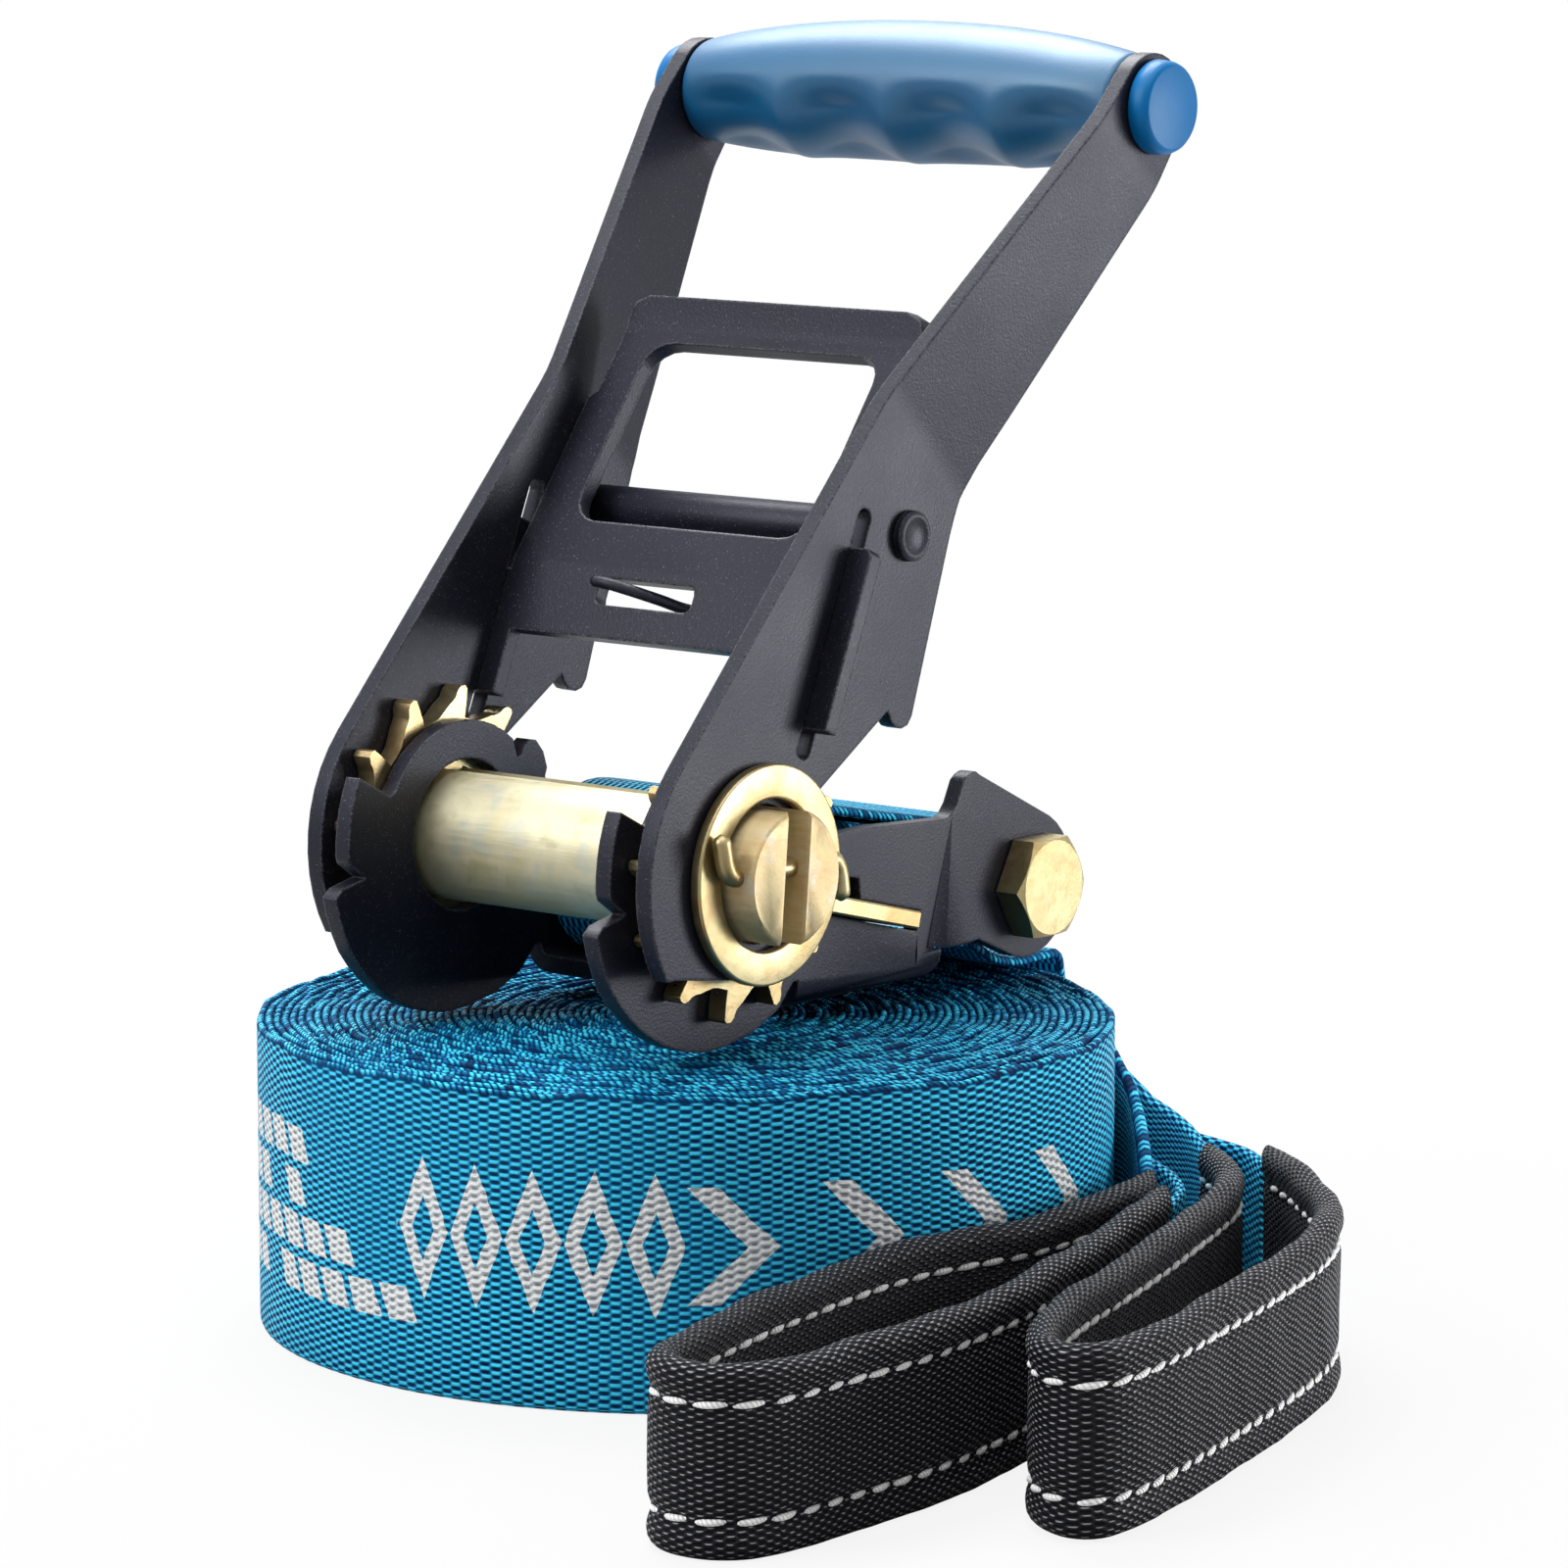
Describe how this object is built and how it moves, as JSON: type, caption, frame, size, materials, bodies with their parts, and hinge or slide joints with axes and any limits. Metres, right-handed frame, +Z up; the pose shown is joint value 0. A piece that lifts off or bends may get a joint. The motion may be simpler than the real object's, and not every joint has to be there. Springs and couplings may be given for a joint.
{
  "type": "slackline ratchet",
  "caption": "Long-lever webbing ratchet for tensioning a slackline, standing on its rolled-up webbing, with two sleeved anchor loops.",
  "frame": {"origin": "on the surface that the set stands on, in the middle of its footprint", "axes": "+X along the spool, +Y from the spool towards the base's rear bolt, +Z up"},
  "size_m": [0.2072, 0.1936, 0.2065],
  "materials": {
    "webbing": "woven polyester",
    "sleeve": "woven, matte",
    "black_steel": "satin powder coat",
    "zinc_steel": "yellow zinc plated",
    "grip_plastic": "moulded, satin",
    "cap_plastic": "moulded, semi-gloss"
  },
  "bodies": {
    "main_line": {"webbing_roll": "webbing", "main_tail": "webbing", "main_lap": "webbing", "main_loop_sleeve": "sleeve"},
    "ratchet_base": {"base_frame": "black_steel", "base_bolt": "zinc_steel", "bolt_nut": "zinc_steel", "bolt_spacer": "zinc_steel", "ratchet_strap": "webbing", "strap_run": "webbing", "strap_lap": "webbing", "strap_loop_sleeve": "sleeve"},
    "spool": {"half_shaft_front": "zinc_steel", "half_shaft_rear": "zinc_steel", "ratchet_wheel_left": "zinc_steel", "ratchet_wheel_right": "zinc_steel", "washer_left": "zinc_steel", "washer_right": "zinc_steel", "cotter_left": "zinc_steel", "cotter_right": "zinc_steel"},
    "handle": {"handle_plate_left": "black_steel", "handle_plate_right": "black_steel", "cross_rod": "black_steel", "grip_tube": "zinc_steel", "grip": "grip_plastic", "grip_cap_left": "cap_plastic", "grip_cap_right": "cap_plastic", "pull_spring": "black_steel"},
    "handle_pawl": {"pull_plate": "black_steel"},
    "base_pawl": {"base_pawl": "zinc_steel"}
  },
  "joints": [
    {"name": "ratchet_lift", "type": "slide", "parent": "main_line", "child": "ratchet_base", "axis": [0, 0, 1], "range_m": [0, 0.12]},
    {"name": "spool_turn", "type": "hinge", "parent": "ratchet_base", "child": "spool", "pos_m": [-0.03631, -0.00254, 0.0785], "axis": [1, 0, 0], "continuous": true},
    {"name": "handle_swing", "type": "hinge", "parent": "ratchet_base", "child": "handle", "pos_m": [-0.03631, -0.00254, 0.0785], "axis": [1, 0, 0], "range_deg": [-42, 126]},
    {"name": "pull_slide", "type": "slide", "parent": "handle", "child": "handle_pawl", "axis": [0, -0.3987, -0.9171], "range_m": [-0.0055, 0.0022], "stiffness_N_per_m": 1500, "deforming": ["pull_spring"]},
    {"name": "base_pawl_slide", "type": "slide", "parent": "ratchet_base", "child": "base_pawl", "axis": [0, 0.9694, -0.2453], "range_m": [0, 0.004], "stiffness_N_per_m": 800}
  ]
}
